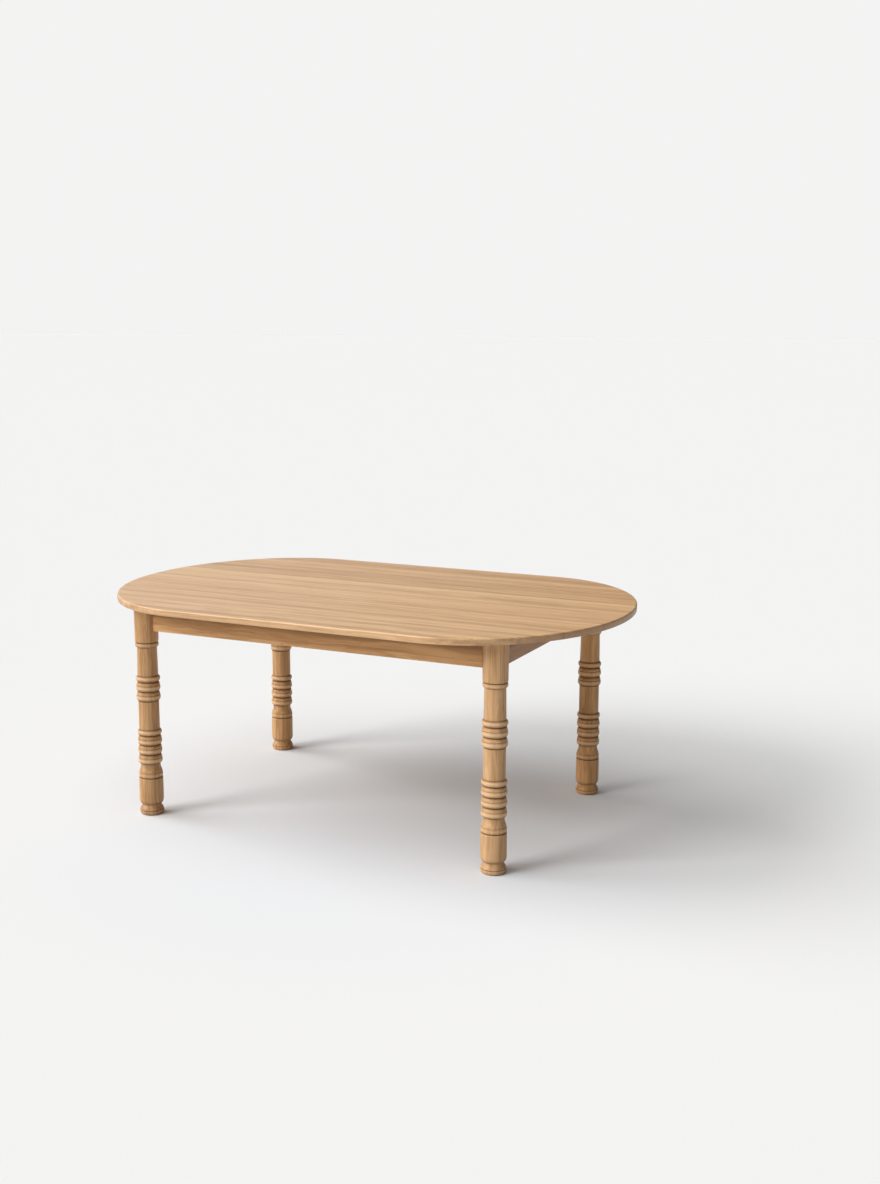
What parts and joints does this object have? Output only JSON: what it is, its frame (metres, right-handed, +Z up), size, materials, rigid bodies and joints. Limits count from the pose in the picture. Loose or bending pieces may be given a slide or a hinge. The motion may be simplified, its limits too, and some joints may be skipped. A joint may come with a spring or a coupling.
{
  "type": "miniature dining table",
  "caption": "Dolls house dining table with a racetrack-shaped board top, square-edged aprons and ring-turned round legs on bell feet.",
  "frame": {"origin": "on the floor, under the middle of the top", "axes": "+X along the table, +Y across it towards the back, +Z up"},
  "size_m": [0.15, 0.096, 0.0623],
  "materials": {
    "tabletop": "satin",
    "turned_leg": "satin",
    "apron": "satin",
    "glue_block": "matte",
    "dowel_pin": "matte"
  },
  "bodies": {
    "root": {"top_board_1": "tabletop", "top_board_2": "tabletop", "top_board_3": "tabletop", "top_board_4": "tabletop", "top_board_5": "tabletop", "top_board_6": "tabletop", "leg_front_left": "turned_leg", "leg_front_right": "turned_leg", "leg_back_left": "turned_leg", "leg_back_right": "turned_leg", "apron_front": "apron", "apron_back": "apron", "apron_left": "apron", "apron_right": "apron", "pin_front_left": "dowel_pin", "pin_front_right": "dowel_pin", "pin_back_left": "dowel_pin", "pin_back_right": "dowel_pin", "corner_block_front_left": "glue_block", "corner_block_front_right": "glue_block", "corner_block_back_left": "glue_block", "corner_block_back_right": "glue_block", "glue_block_front_left": "glue_block", "glue_block_front_right": "glue_block", "glue_block_back_left": "glue_block", "glue_block_back_right": "glue_block", "glue_block_left": "glue_block", "glue_block_right": "glue_block"}
  },
  "joints": []
}
